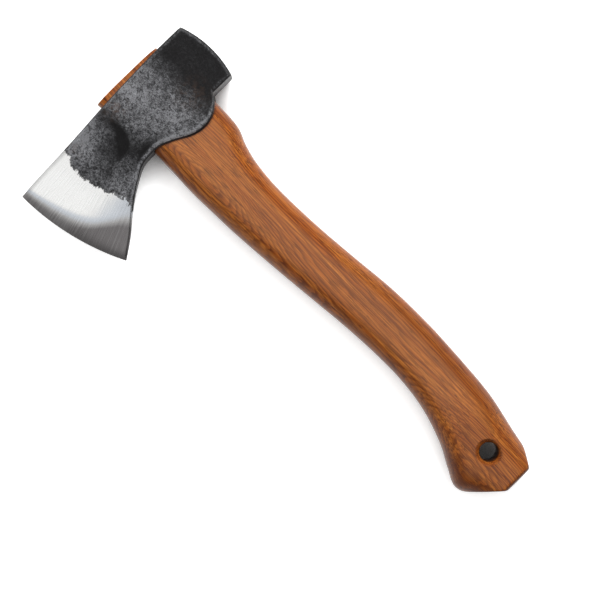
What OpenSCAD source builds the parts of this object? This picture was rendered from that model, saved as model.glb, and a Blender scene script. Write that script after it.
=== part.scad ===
// Forest hatchet: a one-piece forged head hung on a curved hardwood handle,
// spread with a wooden wedge and locked with a steel ring wedge.
//
// Every module draws in the head's own frame: x runs from the poll to the cutting
// edge, y from the top of the head down the handle, and z across the cheeks, with
// z = 0 on the centre plane. place() then lays the hatchet on one cheek, with the
// head towards +X, the cutting edge towards +Y, and the origin on the surface
// under the middle of its outline. All sizes are in millimetres.

/* [Overall] */
// Length from the sawn top of the tenon to the end of the knob
overall_length = 336; // [300:1:420]

/* [Head] */
// Length from the crest of the poll to the cutting edge
head_length = 143; // [130:1:170]
// Height of the poll, and depth of the eye
poll_height = 41.5; // [36:0.5:50]
// Width of the poll's striking face
poll_width = 27; // [22:0.5:30]
// Width across the cheeks at the eye, the widest place on the head
cheek_width = 30; // [27:0.5:36]
// Radius of the crowned striking face
poll_face_radius = 67; // [50:1:120]
// How far the lugs reach down the handle below the poll
lug_drop = 11; // [6:0.5:16]
// Height of the heel below the top of the head
heel_drop = 76.5; // [66:0.5:90]
// How far the toe sits below the top of the head
toe_drop = 5.5; // [3:0.5:8]
// Radius of the curved cutting edge
edge_radius = 162; // [130:1:220]
// Bevel around the poll and along the top of the cheeks
head_chamfer = 1.2; // [0.6:0.2:2]

/* [Eye] */
// Solid steel between the striking face and the eye
poll_depth = 23; // [18:0.5:28]
// Length of the eye at the top of the head
eye_length = 49; // [44:0.5:52]
// Width of the eye
eye_width = 19; // [15:0.5:21]
// How much shorter the eye is at its lower mouth
eye_taper = 4.5; // [2:0.5:7]
// Gap between the tenon and the eye, all round
eye_fit = 0.1; // [0.05:0.05:0.3]

/* [Handle] */
// How far the tenon stands proud of the head
tenon_proud = 2.5; // [1:0.5:5]
// Width of the shoulder under the head
shoulder_width = 47.5; // [42:0.5:54]
// Width of the waist below the shoulder
waist_width = 36.5; // [30:0.5:42]
// Width of the grip, front to back
grip_width = 35; // [28:0.5:40]
// Width of the knob
knob_width = 48.5; // [42:0.5:56]
// Thickness of the shoulder, side to side
shoulder_thickness = 24.5; // [21:0.5:27]
// Thickness of the grip
grip_thickness = 22.5; // [18:0.5:27]
// Thickness of the knob
knob_thickness = 27; // [23:0.5:30]
// How far the grip sweeps back from the line of the tenon
grip_sweep = 11.5; // [6:0.5:16]
// How far the knob stands forward of the line of the tenon
knob_reach = 10; // [6:0.5:14]
// Diameter of the hanging hole
hang_hole_d = 11.5; // [8:0.5:14]
// Countersink of the hanging hole
hang_hole_chamfer = 1.8; // [0.6:0.2:2.4]

/* [Wedges] */
// Depth of the saw kerf, from the top of the tenon
kerf_depth = 34; // [26:1:38]
// Thickness of the wooden wedge at its top
wedge_top = 6.5; // [5:0.5:8]
// Thickness of the wooden wedge at its foot
wedge_foot = 1.2; // [0.8:0.2:2]
// Outer diameter of the steel ring wedge
ring_d = 14; // [12:0.5:16]
// Wall of the ring wedge at its top
ring_wall = 1.8; // [1.2:0.2:2.6]
// Height of the ring wedge
ring_height = 12; // [8:1:16]

/* [Hidden] */

eye_back = poll_depth;
eye_front = eye_back + eye_length;
eye_front_low = eye_front - eye_taper;
eye_middle = (eye_back + eye_front) / 2;
eye_depth = poll_height;
lug_tip = poll_height + lug_drop;
handle_end = overall_length - tenon_proud;

// The blade is turned about the centre of its edge arc, so its thickness follows the edge.
// The farthest point of the edge lies a little above the toe's corner.
edge_centre = [head_length - edge_radius, 0.35 * toe_drop];
heel = [
    edge_centre.x + sqrt(pow(edge_radius, 2) - pow(heel_drop - edge_centre.y, 2)),
    heel_drop
];

poll_neck = 17.5;         // the striking block ends here and the lugs begin
poll_face_middle = 0.57; // crest of the striking face, as a share of the poll's height
lug_gap = 0.3;           // between the lugs' rims and the wood scribed to them
oversize = 20;           // cutting tools reach this far past what they cut
curve_steps = 5;         // straight pieces in each span of a smooth curve

tenon_power = 2.8;       // 2 is an ellipse, and more is squarer
grip_power = 2.3;
ring_points = 32;        // corners of each section through the handle
ring_step = 4;           // spacing of the sections along the handle
shoulder_step = 0.3;     // height of the ledge where the tenon meets the shoulder

hole_centre = [eye_back + 25.5, handle_end - 24.5];

// ---- Smooth curves ----

// Slope of column c at row i of a table sorted on column 0.
function slope(table, i, c) =
    let (before = max(i - 1, 0), after = min(i + 1, len(table) - 1))
    (table[after][c] - table[before][c]) / (table[after][0] - table[before][0]);

// Row of the table whose span holds the place x.
function row_at(table, x, i = 0) =
    i >= len(table) - 2 || x <= table[i + 1][0] ? i : row_at(table, x, i + 1);

// Column c of the table at the place x, on a smooth curve through its rows.
function smooth(table, x, c) =
    let (
        i = row_at(table, x),
        span = table[i + 1][0] - table[i][0],
        t = (x - table[i][0]) / span,
        m0 = slope(table, i, c) * span,
        m1 = slope(table, i + 1, c) * span,
        step = table[i + 1][c] - table[i][c]
    )
    table[i][c] + t * (m0 + t * ((3 * step - 2 * m0 - m1) + t * (m0 + m1 - 2 * step)));

// Points of a smooth curve through the rows [x, y] of a table.
function smooth_curve(table) = [
    for (i = [0 : len(table) - 2], k = [0 : curve_steps - 1])
        let (x = table[i][0] + (table[i + 1][0] - table[i][0]) * k / curve_steps)
            [x, smooth(table, x, 1)],
    table[len(table) - 1]
];

function reversed(list) = [for (i = [len(list) - 1 : -1 : 0]) list[i]];

// ---- Head ----

// The top of the head, from the poll to past the toe: flat over the eye, then falling to the toe.
top_line = [
    [-oversize, 0],
    [eye_back, 0],
    [eye_front, 0.34 * toe_drop],
    [head_length - 38, 0.6 * toe_drop],
    [head_length - 12, 0.8 * toe_drop],
    [head_length, toe_drop],
    [head_length + oversize, toe_drop + 3]
];

// The rim of a lug: a full round belly that rises again to the front of the handle.
lug_rim = [
    [poll_neck, poll_height],
    [poll_neck + 3, poll_height + 0.4 * lug_drop],
    [poll_neck + 8, poll_height + 0.77 * lug_drop],
    [poll_neck + 14, poll_height + 0.97 * lug_drop],
    [poll_neck + 20, lug_tip],
    [poll_neck + 27, poll_height + 0.84 * lug_drop],
    [poll_neck + 34, poll_height + 0.5 * lug_drop],
    [poll_neck + 42, poll_height + 0.15 * lug_drop],
    [eye_front_low - 3, poll_height + 0.2]
];

// The beard, from the front of the handle down to the heel.
beard = [
    [eye_front_low, poll_height + 0.3],
    [eye_front_low + 10, poll_height + 0.04 * (heel_drop - poll_height)],
    [eye_front_low + 20, poll_height + 0.19 * (heel_drop - poll_height)],
    [eye_front_low + 31, poll_height + 0.41 * (heel_drop - poll_height)],
    [heel.x - 12, poll_height + 0.755 * (heel_drop - poll_height)],
    heel
];

// Half the thickness of the head against the distance in from the cutting edge.
flat_from = head_length - eye_front + 12;
blade_half = [
    [0, 0],
    [1, 0.4],
    [3, 1],
    [8, 1.9],
    [16, 2.8],
    [28, 3.9],
    [40, 5.4],
    [52, 8],
    [head_length - eye_front - 6, 11.2],
    [head_length - eye_front + 2, 0.92 * cheek_width / 2],
    [flat_from, cheek_width / 2]
];

// Half the width of the striking block, which swells into the cheeks at the eye.
poll_half = [
    [0, poll_width / 2],
    [poll_neck / 2, poll_width / 2 + 0.2],
    [eye_back, 0.93 * cheek_width / 2 + 0.07 * poll_width / 2],
    [eye_back + 6, cheek_width / 2]
];

module head_outline() {
    intersection() {
        polygon(concat(
            smooth_curve(top_line),
            [[heel.x + oversize, heel_drop]],
            reversed(smooth_curve(beard)),
            reversed(smooth_curve(lug_rim)),
            [[-oversize, poll_height]]
        ));
        union() {
            translate([poll_face_radius, poll_face_middle * poll_height])
                circle(poll_face_radius, $fn = 180);
            translate([eye_middle, -oversize])
                square([head_length + oversize, heel_drop + 2 * oversize]);
        }
    }
}

// Everything inside the blade's wedge, turned about the centre of the edge arc.
module blade_wedge() {
    half = [for (p = smooth_curve(blade_half)) [edge_radius - p[0], p[1]]];
    translate(edge_centre)
        rotate_extrude($fn = 360)
            polygon(concat(
                [[0, -cheek_width / 2], [0, cheek_width / 2]],
                reversed(half),
                [for (i = [1 : len(half) - 1]) [half[i][0], -half[i][1]]]
            ));
}

// Everything inside the plan of the poll and cheeks, with the poll's upright edges bevelled.
module cheek_plan() {
    side = concat(
        [[0, poll_width / 2 - 2 * head_chamfer], [2 * head_chamfer, poll_half[0][1]]],
        [for (p = smooth_curve(poll_half)) if (p[0] > 2 * head_chamfer) p],
        [[head_length + oversize, cheek_width / 2]]
    );
    translate([0, heel_drop + oversize, 0])
        rotate([90, 0, 0])
            linear_extrude(heel_drop + 2 * oversize)
                polygon(concat(side, [for (p = reversed(side)) [p[0], -p[1]]]));
}

// Everything below the bevels along the top of the cheeks.
module top_bevels() {
    rotate([90, 0, 90])
        linear_extrude(head_length + oversize)
            polygon([
                [-oversize, -cheek_width / 2 + head_chamfer + oversize / 2],
                [0, -cheek_width / 2 + head_chamfer],
                [head_chamfer, -cheek_width / 2],
                [heel_drop + oversize, -cheek_width / 2],
                [heel_drop + oversize, cheek_width / 2],
                [head_chamfer, cheek_width / 2],
                [0, cheek_width / 2 - head_chamfer],
                [-oversize, cheek_width / 2 - head_chamfer - oversize / 2]
            ]);
}

module head() {
    color("#3b3c3f")
        difference() {
            intersection() {
                linear_extrude(cheek_width, center = true) head_outline();
                blade_wedge();
                cheek_plan();
                top_bevels();
            }
            tenon_form(eye_fit, -oversize, eye_depth + 1);
            // The lugs are side flaps, with the wood of the shoulder between them.
            translate([-oversize, eye_depth, -eye_width / 2 - eye_fit])
                cube([
                    oversize + eye_front_low + eye_fit,
                    lug_drop + oversize,
                    eye_width + 2 * eye_fit
                ]);
        }
}

// ---- Handle ----

// A section through the handle: a rounded oval from back to front at the height y.
function section(y, back, front, thickness, power) = [
    for (k = [0 : ring_points - 1])
        let (a = 360 * k / ring_points, c = cos(a), s = sin(a))
            [
                (front + back) / 2 + (front - back) / 2 * sign(c) * pow(abs(c), 2 / power),
                y,
                thickness / 2 * sign(s) * pow(abs(s), 2 / power)
            ]
];

// A closed solid through a stack of sections.
module loft(sections) {
    n = len(sections[0]);
    last = len(sections) - 1;
    polyhedron(
        points = [for (s = sections, p = s) p],
        faces = concat(
            [[for (k = [n - 1 : -1 : 0]) k]],
            [
                for (i = [0 : last - 1], k = [0 : n - 1])
                    let (a = i * n + k, b = i * n + (k + 1) % n)
                        each [[a, b, a + n], [b, b + n, a + n]]
            ],
            [[for (k = [0 : n - 1]) last * n + k]]
        )
    );
}

// A section of the tenon. The eye and the tenon taper together, shorter towards the handle.
function tenon_section(y, grow) = section(
    y,
    eye_back - grow,
    eye_front + grow - eye_taper * y / eye_depth,
    eye_width + 2 * grow,
    tenon_power
);

module tenon_form(grow, from, to) {
    loft([tenon_section(from, grow), tenon_section(to, grow)]);
}

function down(share) = lug_tip + share * (handle_end - lug_tip);

// The handle below the tenon: place down it, how far the front edge stands back from
// the line of the tenon, width from front to back, and thickness from side to side.
stations = [
    [eye_depth + shoulder_step, 0, shoulder_width, shoulder_thickness],
    [down(0.03), -0.3, shoulder_width, shoulder_thickness],
    [down(0.085), -0.4, 0.5 * (shoulder_width + waist_width) + 1, shoulder_thickness],
    [down(0.13), -0.1, waist_width + 3.3, 0.5 * (shoulder_thickness + grip_thickness)],
    [down(0.2), 0.07 * grip_sweep, waist_width + 1, grip_thickness + 0.5],
    [down(0.31), 0.3 * grip_sweep, waist_width - 0.4, grip_thickness],
    [down(0.41), 0.56 * grip_sweep, grip_width + 0.7, grip_thickness],
    [down(0.53), 0.87 * grip_sweep, grip_width + 0.7, grip_thickness],
    [down(0.64), grip_sweep, grip_width, grip_thickness],
    [down(0.71), 0.91 * grip_sweep, grip_width + 0.4, grip_thickness],
    [down(0.76), 0.7 * grip_sweep, grip_width + 2.1, grip_thickness + 0.7],
    [down(0.8), 0.42 * grip_sweep, grip_width + 4.6, 0.6 * grip_thickness + 0.4 * knob_thickness],
    [down(0.84), 0.05 * grip_sweep, 0.5 * (grip_width + knob_width) + 0.8, knob_thickness - 1],
    [down(0.88), -0.53 * knob_reach, knob_width - 2.3, knob_thickness],
    [down(0.92), -knob_reach, knob_width, knob_thickness],
    [down(0.96), -0.6 * knob_reach, knob_width - 5.8, knob_thickness],
    [down(1) + oversize, 0, knob_width - 14, knob_thickness]
];

function handle_section(y) =
    let (front = eye_front_low - smooth(stations, y, 1))
    section(
        y, front - smooth(stations, y, 2), front, smooth(stations, y, 3),
        smooth([[stations[0][0], tenon_power], [down(0.2), grip_power], [handle_end, grip_power]], y, 1)
    );

// The end of the knob is sawn square, bevelled long towards the front and short at the back.
module knob_end() {
    square_from = eye_back + 15.2;
    square_to = square_from + 18.5;
    front_facet = [square_to + 19, handle_end - 16.3];
    far = handle_end + 2 * oversize;
    translate([0, 0, -cheek_width])
        linear_extrude(2 * cheek_width)
            polygon([
                [-oversize, handle_end - 90],
                [square_from - 4.5, handle_end - 7],
                [square_from, handle_end],
                [square_to, handle_end],
                front_facet,
                [front_facet.x + oversize, front_facet.y - oversize],
                [front_facet.x + oversize, far],
                [-oversize, far]
            ]);
}

// The through hole near the knob, countersunk from both sides.
module hang_hole() {
    rim = hang_hole_d / 2 + hang_hole_chamfer;
    translate(hole_centre) {
        cylinder(d = hang_hole_d, h = 2 * cheek_width, center = true, $fn = 64);
        for (side = [0, 1])
            mirror([0, 0, side])
                translate([0, 0, knob_thickness / 2 - hang_hole_chamfer])
                    cylinder(r1 = hang_hole_d / 2, r2 = rim + 2, h = hang_hole_chamfer + 2, $fn = 64);
    }
}

// The flats that the lugs lie against, cut into the wood along their rims.
module lug_seats() {
    for (side = [0, 1])
        mirror([0, 0, side])
            translate([0, lug_gap, eye_width / 2])
                linear_extrude(cheek_width)
                    head_outline();
}

// The saw kerf that the wooden wedge is driven into.
module kerf() {
    rotate([90, 0, 90])
        linear_extrude(head_length)
            polygon([
                [-tenon_proud, -wedge_top / 2],
                [kerf_depth - tenon_proud, -wedge_foot / 2],
                [kerf_depth - tenon_proud, wedge_foot / 2],
                [-tenon_proud, wedge_top / 2],
                [-tenon_proud - 1, wedge_top / 2],
                [-tenon_proud - 1, -wedge_top / 2]
            ]);
}

module handle() {
    steps = ceil((handle_end + oversize / 2 - eye_depth) / ring_step);
    color("#a5602c")
        difference() {
            union() {
                tenon_form(0, -tenon_proud, eye_depth + shoulder_step);
                loft([
                    for (i = [0 : steps])
                        handle_section(eye_depth + shoulder_step + i * ring_step)
                ]);
            }
            lug_seats();
            kerf();
            ring_wedge_form();
            hang_hole();
            knob_end();
        }
}

// ---- Wedges ----

module wooden_wedge() {
    color("#c79a5b")
        difference() {
            intersection() {
                kerf();
                tenon_form(0, -tenon_proud, eye_depth);
            }
            ring_wedge_form();
        }
}

// A short tube, thinned from the inside to a sharp foot so that it spreads the wood.
module ring_wedge_form() {
    translate([eye_middle, -tenon_proud, 0])
        rotate([-90, 0, 0])
            rotate_extrude($fn = 96)
                polygon([
                    [ring_d / 2 - ring_wall, 0],
                    [ring_d / 2, 0],
                    [ring_d / 2, ring_height],
                    [ring_d / 2 - 0.3, ring_height],
                    [ring_d / 2 - ring_wall, 0.4 * ring_height]
                ]);
}

module ring_wedge() {
    color("silver") ring_wedge_form();
}

// ---- Assembly ----

module place() {
    translate([overall_length / 2 - tenon_proud, -head_length / 2, cheek_width / 2])
        rotate([0, 0, 90])
            children();
}

place() head();
place() handle();
place() wooden_wedge();
place() ring_wedge();
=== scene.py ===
import math

import bmesh
import bpy
import numpy as np
from mathutils import Matrix, Vector, noise


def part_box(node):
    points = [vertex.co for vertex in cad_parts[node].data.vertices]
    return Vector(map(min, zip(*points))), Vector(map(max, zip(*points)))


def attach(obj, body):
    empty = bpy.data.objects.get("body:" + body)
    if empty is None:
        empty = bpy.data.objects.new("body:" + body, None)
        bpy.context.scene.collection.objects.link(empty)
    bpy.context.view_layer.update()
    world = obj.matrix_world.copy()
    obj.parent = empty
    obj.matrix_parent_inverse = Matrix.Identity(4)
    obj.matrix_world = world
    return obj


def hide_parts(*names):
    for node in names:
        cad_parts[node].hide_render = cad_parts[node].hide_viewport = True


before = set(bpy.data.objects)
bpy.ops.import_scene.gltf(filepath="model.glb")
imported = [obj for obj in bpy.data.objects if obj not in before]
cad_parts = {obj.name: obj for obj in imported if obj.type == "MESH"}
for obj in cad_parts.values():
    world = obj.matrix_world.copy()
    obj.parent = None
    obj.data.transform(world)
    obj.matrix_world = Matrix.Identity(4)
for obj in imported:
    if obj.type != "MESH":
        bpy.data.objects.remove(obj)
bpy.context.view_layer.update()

# ---- The head's own frame ----
# u runs from the poll to the cutting edge, v from the top of the head down the handle and
# z across the cheeks, in millimetres, as in the part's source.

MM = 0.001
head_low, head_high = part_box("head")
handle_low, handle_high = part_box("handle")
TOP_X = head_high[0]
POLL_Y = head_low[1]
MIDDLE_Z = 0.5 * (head_low[2] + head_high[2])

HEAD_LENGTH = (head_high[1] - head_low[1]) / MM
HEEL_DROP = (head_high[0] - head_low[0]) / MM
CHEEK_WIDTH = (head_high[2] - head_low[2]) / MM
TENON_PROUD = (handle_high[0] - head_high[0]) / MM
HANDLE_END = (head_high[0] - handle_low[0]) / MM
KNOB_THICKNESS = (handle_high[2] - handle_low[2]) / MM

POLL_HEIGHT = 41.5
POLL_WIDTH = 27.0
POLL_FACE_RADIUS = 67.0
POLL_FACE_MIDDLE = 0.57 * POLL_HEIGHT
POLL_NECK = 17.5
LUG_DROP = 11.0
TOE_DROP = 5.5
EDGE_RADIUS = 162.0
EYE_BACK = 23.0
EYE_FRONT = 72.0
EYE_TAPER = 4.5
EYE_FRONT_LOW = EYE_FRONT - EYE_TAPER
EYE_WIDTH = 19.0
EYE_FIT = 0.1
EDGE_U = HEAD_LENGTH - EDGE_RADIUS
EDGE_V = 0.35 * TOE_DROP
HEEL_U = EDGE_U + math.sqrt(EDGE_RADIUS ** 2 - (HEEL_DROP - EDGE_V) ** 2)

KERF_DEPTH = 34.0
WEDGE_TOP = 6.5
WEDGE_FOOT = 1.2
RING_D = 14.0
RING_WALL = 1.8
RING_HEIGHT = 12.0
HOLE_D = 11.5
HOLE_CHAMFER = 2.5
HOLE_U = EYE_BACK + 25.5
HOLE_V = HANDLE_END - 24.5

# Points nearer to each other than WELD are merged after a cut, and points nearer than STRAIGHT to
# the line between their neighbours are dissolved.
WELD = 0.001 * MM
STRAIGHT = 0.01 * MM


def to_row(points):
    """Head-frame millimetres to the row's metres."""
    p = np.asarray(points, dtype=float)
    return np.stack([TOP_X - p[..., 1] * MM, POLL_Y + p[..., 0] * MM, MIDDLE_Z + p[..., 2] * MM], axis=-1)


def smooth_table(rows, x):
    """A smooth curve through the rows [x, value], read at every x."""
    rows = np.asarray(rows, dtype=float)
    xs, ys = rows[:, 0], rows[:, 1]
    slopes = np.empty(len(xs))
    slopes[1:-1] = (ys[2:] - ys[:-2]) / (xs[2:] - xs[:-2])
    slopes[0] = (ys[1] - ys[0]) / (xs[1] - xs[0])
    slopes[-1] = (ys[-1] - ys[-2]) / (xs[-1] - xs[-2])
    x = np.clip(np.asarray(x, dtype=float), xs[0], xs[-1])
    i = np.clip(np.searchsorted(xs, x) - 1, 0, len(xs) - 2)
    span = xs[i + 1] - xs[i]
    t = (x - xs[i]) / span
    m0, m1 = slopes[i] * span, slopes[i + 1] * span
    step = ys[i + 1] - ys[i]
    return ys[i] + t * (m0 + t * ((3 * step - 2 * m0 - m1) + t * (m0 + m1 - 2 * step)))


def ramp(x, a, b):
    """0 before a, 1 after b, and a smooth step between."""
    t = np.clip((np.asarray(x, dtype=float) - a) / (b - a), 0, 1)
    return t * t * (3 - 2 * t)


def full_turn(count):
    return np.linspace(0, 2 * math.pi, count, endpoint=False)


def lumps(u, v, size, seed):
    """Smooth relief from seeded noise, about -1 to 1, with lumps of the given size."""
    falloff, lacunarity, octaves = 0.8, 2.0, 2
    values = [
        noise.fractal(Vector((a / size, b / size, seed)), falloff, lacunarity, octaves)
        for a, b in zip(np.ravel(u), np.ravel(v))
    ]
    return np.reshape(values, np.shape(u))


def new_object(name, points, faces):
    mesh = bpy.data.meshes.new(name)
    mesh.from_pydata([tuple(p) for p in to_row(points)], [], [tuple(f) for f in faces])
    mesh.update()
    obj = bpy.data.objects.new(name, mesh)
    bpy.context.scene.collection.objects.link(obj)
    return obj


def combine(obj, other, operation):
    """Applies a boolean with the other object, and removes the other."""
    modifier = obj.modifiers.new("combine", "BOOLEAN")
    modifier.operation = operation
    modifier.solver = "MANIFOLD"
    modifier.object = other
    graph = bpy.context.evaluated_depsgraph_get()
    mesh = bpy.data.meshes.new_from_object(obj.evaluated_get(graph))
    obj.modifiers.clear()
    old = obj.data
    obj.data = mesh
    bpy.data.meshes.remove(old)
    bpy.data.objects.remove(other)


def cut(obj, cutter):
    """Takes the cutter away from the object, and cleans up any slivers left behind."""
    combine(obj, cutter, "DIFFERENCE")
    bm = bmesh.new()
    bm.from_mesh(obj.data)
    bmesh.ops.remove_doubles(bm, verts=bm.verts, dist=WELD)
    bmesh.ops.dissolve_degenerate(bm, edges=bm.edges, dist=WELD)
    # A spare point on a straight edge would make two slivers back to back when the faces are split.
    spare = []
    for vert in bm.verts:
        if len(vert.link_edges) == 2:
            a, b = (edge.other_vert(vert).co for edge in vert.link_edges)
            if (vert.co - a).cross(b - a).length < STRAIGHT * (b - a).length:
                spare.append(vert)
    bmesh.ops.dissolve_verts(bm, verts=spare)
    bm.to_mesh(obj.data)
    bm.free()


def shade(obj, angle):
    """Smooth shading, with the edges sharper than the angle kept crisp."""
    mesh = obj.data
    mesh.polygons.foreach_set("use_smooth", [True] * len(mesh.polygons))
    mesh.set_sharp_from_angle(angle=math.radians(angle))


def head_coordinates(obj):
    """u, v and z of every vertex, in head-frame millimetres."""
    co = np.empty(len(obj.data.vertices) * 3)
    obj.data.vertices.foreach_get("co", co)
    co = co.reshape(-1, 3)
    return (co[:, 1] - POLL_Y) / MM, (TOP_X - co[:, 0]) / MM, (co[:, 2] - MIDDLE_Z) / MM


def write_attribute(obj, name, values):
    attribute = obj.data.attributes.new(name, "FLOAT", "POINT")
    attribute.data.foreach_set("value", np.asarray(values, dtype=np.float32))


def bar(name, start, end):
    """A straight-sided solid between two outlines with the same number of points."""
    n = len(start)
    faces = [tuple(range(n)), tuple(range(2 * n - 1, n - 1, -1))]
    faces += [(i, i + n, (i + 1) % n + n, (i + 1) % n) for i in range(n)]
    obj = new_object(name, start + end, faces)
    make_outward(obj)
    return obj


def prism(name, outline, z0, z1):
    """A bar that stands on an outline in u and v."""
    return bar(name, [(u, v, z0) for u, v in outline], [(u, v, z1) for u, v in outline])


def stack(name, rings):
    """A skin over rings of points, closed at both ends."""
    rings = np.asarray(rings)
    m, n = rings.shape[:2]
    points = rings.reshape(-1, 3).tolist()
    faces = [
        (i * n + k, i * n + (k + 1) % n, (i + 1) * n + (k + 1) % n, (i + 1) * n + k)
        for i in range(m - 1) for k in range(n)
    ]
    for i in (0, m - 1):
        points.append(rings[i].mean(axis=0).tolist())
        middle = len(points) - 1
        faces += [(i * n + k, i * n + (k + 1) % n, middle) for k in range(n)]
    obj = new_object(name, points, faces)
    make_outward(obj)
    return obj


def make_outward(obj):
    bm = bmesh.new()
    bm.from_mesh(obj.data)
    bmesh.ops.recalc_face_normals(bm, faces=bm.faces)
    bm.to_mesh(obj.data)
    bm.free()


# ---- Outlines shared by the head and the handle ----

TOP_LINE = [
    (-20, 0), (EYE_BACK, 0), (EYE_FRONT, 0.34 * TOE_DROP), (HEAD_LENGTH - 38, 0.6 * TOE_DROP),
    (HEAD_LENGTH - 12, 0.8 * TOE_DROP), (HEAD_LENGTH, TOE_DROP), (HEAD_LENGTH + 20, TOE_DROP + 3),
]
LUG_RIM = [
    (POLL_NECK, POLL_HEIGHT), (POLL_NECK + 3, POLL_HEIGHT + 0.4 * LUG_DROP),
    (POLL_NECK + 8, POLL_HEIGHT + 0.77 * LUG_DROP), (POLL_NECK + 14, POLL_HEIGHT + 0.97 * LUG_DROP),
    (POLL_NECK + 20, POLL_HEIGHT + LUG_DROP), (POLL_NECK + 27, POLL_HEIGHT + 0.84 * LUG_DROP),
    (POLL_NECK + 34, POLL_HEIGHT + 0.5 * LUG_DROP), (POLL_NECK + 42, POLL_HEIGHT + 0.15 * LUG_DROP),
    (EYE_FRONT_LOW - 3, POLL_HEIGHT + 0.2),
]
BEARD_DROP = HEEL_DROP - POLL_HEIGHT
BEARD = [
    (EYE_FRONT_LOW, POLL_HEIGHT + 0.3), (EYE_FRONT_LOW + 10, POLL_HEIGHT + 0.04 * BEARD_DROP),
    (EYE_FRONT_LOW + 20, POLL_HEIGHT + 0.19 * BEARD_DROP),
    (EYE_FRONT_LOW + 31, POLL_HEIGHT + 0.41 * BEARD_DROP),
    (HEEL_U - 12, POLL_HEIGHT + 0.755 * BEARD_DROP), (HEEL_U, HEEL_DROP),
]


def bottom_line(u):
    """v of the underside at every u: poll, lug, then beard."""
    u = np.asarray(u, dtype=float)
    v = np.full(u.shape, POLL_HEIGHT)
    v = np.where(u >= POLL_NECK, smooth_table(LUG_RIM, u), v)
    join = (u > EYE_FRONT_LOW - 3) & (u < EYE_FRONT_LOW)
    v = np.where(join, POLL_HEIGHT + 0.2 + (u - EYE_FRONT_LOW + 3) / 30, v)
    return np.where(u >= EYE_FRONT_LOW, smooth_table(BEARD, u), v)


def poll_u(v):
    """u of the crowned poll face."""
    return POLL_FACE_RADIUS - np.sqrt(POLL_FACE_RADIUS ** 2 - (np.asarray(v) - POLL_FACE_MIDDLE) ** 2)


def edge_u(v):
    """u of the cutting edge."""
    return EDGE_U + np.sqrt(EDGE_RADIUS ** 2 - (np.asarray(v) - EDGE_V) ** 2)


# ---- Head: one forging, as a fine mesh over the side outline ----

# The grid's lines lie at these distances from a border, and evenly spread between them.
BORDER_STEPS = [0, 0.12, 0.3, 0.55, 0.85, 1.2, 1.65, 2.2]
GRID_SPACING = 0.55
GRID_ROWS = 132
SIDE_LAYERS = 14
UPPER_SEED, LOWER_SEED = 3.1, 19.4


def spread(length, spacing):
    """Places from 0 to the length, close together near both ends."""
    start = BORDER_STEPS[-1]
    count = int(round((length - 2 * start) / spacing))
    inner = np.linspace(start, length - start, count + 1)
    return np.concatenate([BORDER_STEPS[:-1], inner, length - np.array(BORDER_STEPS[-2::-1])])


def head_grid():
    """u and v of the grid, with the distance in from each border."""
    across = spread(HEAD_LENGTH, GRID_SPACING)
    for corner in (POLL_NECK, EYE_FRONT_LOW):
        across[np.argmin(abs(across - corner))] = corner
    poll_top, poll_low = float(poll_u(0.0)), float(poll_u(POLL_HEIGHT))
    blade = np.clip((across - EYE_FRONT_LOW) / (HEAD_LENGTH - EYE_FRONT_LOW), 0, 1)
    near_poll = 1 - ramp(across, 0, POLL_NECK)
    top_u = across + near_poll * poll_top
    low_u = across + near_poll * poll_low - blade * (HEAD_LENGTH - HEEL_U)
    top_u[-1], low_u[-1] = float(edge_u(TOE_DROP)), HEEL_U
    top_v, low_v = smooth_table(TOP_LINE, top_u), bottom_line(low_u)
    low_v[0] = POLL_HEIGHT
    height = np.hypot(low_u - top_u, low_v - top_v)
    step = np.array(BORDER_STEPS)
    u, v, from_top = [], [], []
    for i in range(len(across)):
        inner = np.linspace(step[-1], height[i] - step[-1], GRID_ROWS)
        d = np.concatenate([step[:-1], inner, height[i] - step[-2::-1]])
        t = d / height[i]
        u.append(top_u[i] + (low_u[i] - top_u[i]) * t)
        v.append(top_v[i] + (low_v[i] - top_v[i]) * t)
        from_top.append(d)
    u, v, from_top = np.array(u), np.array(v), np.array(from_top)
    # The poll's crown and the edge's arc spread into the grid and fade out inside it.
    poll_chord = u[0].copy()
    u += (1 - ramp(across, 0, 30))[:, None] * (poll_u(v[0]) - poll_chord)[None, :]
    edge_chord = u[-1].copy()
    u += ramp(across, EYE_FRONT_LOW, HEAD_LENGTH)[:, None] * (edge_u(v[-1]) - edge_chord)[None, :]
    from_poll = np.repeat(across[:, None], u.shape[1], axis=1)
    return u, v, from_poll, from_top, height[:, None] - from_top


# Half the thickness against the distance in from the cutting edge, and against u from the poll.
BLADE_TAPER = [
    (0, 0.07), (10, 0.89), (20, 1.71), (28, 2.4), (40, 4.1), (52, 6.8), (62, 9.9), (70, 12.4), (77, 14.1),
    (86, CHEEK_WIDTH / 2), (200, CHEEK_WIDTH / 2),
]
POLL_TAPER = [
    (0, POLL_WIDTH / 2), (9, POLL_WIDTH / 2 + 0.15), (EYE_BACK - 4, 14.3),
    (EYE_BACK + 6, CHEEK_WIDTH / 2), (60, CHEEK_WIDTH / 2), (200, CHEEK_WIDTH / 2),
]


def half_thickness(u, v):
    """Half the thickness of the plain head, and the distance in from the cutting edge."""
    d = np.maximum(EDGE_RADIUS - np.hypot(u - EDGE_U, v - EDGE_V), 0)
    # The bevel is convex, and wider towards the heel.
    width = 1.7 * (5.2 + 3.4 * ramp(v, 4, 50))
    t = np.clip(d / width, 0, 1)
    rise = width * (t - t ** 3 + 0.5 * t ** 4)
    blade = smooth_table(BLADE_TAPER, d) + 0.2 * rise * (1 - ramp(d, 34, 84))
    return np.minimum(blade, smooth_table(POLL_TAPER, u)), d


# The round hollow hammered in front of the eye, near the top.
HOLLOW_U, HOLLOW_V = 85.5, 17.0
HOLLOW_RADIUS = 14.5
HOLLOW_DEPTH = 1.2
EDGE_HALF_THICKNESS = 0.035


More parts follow.
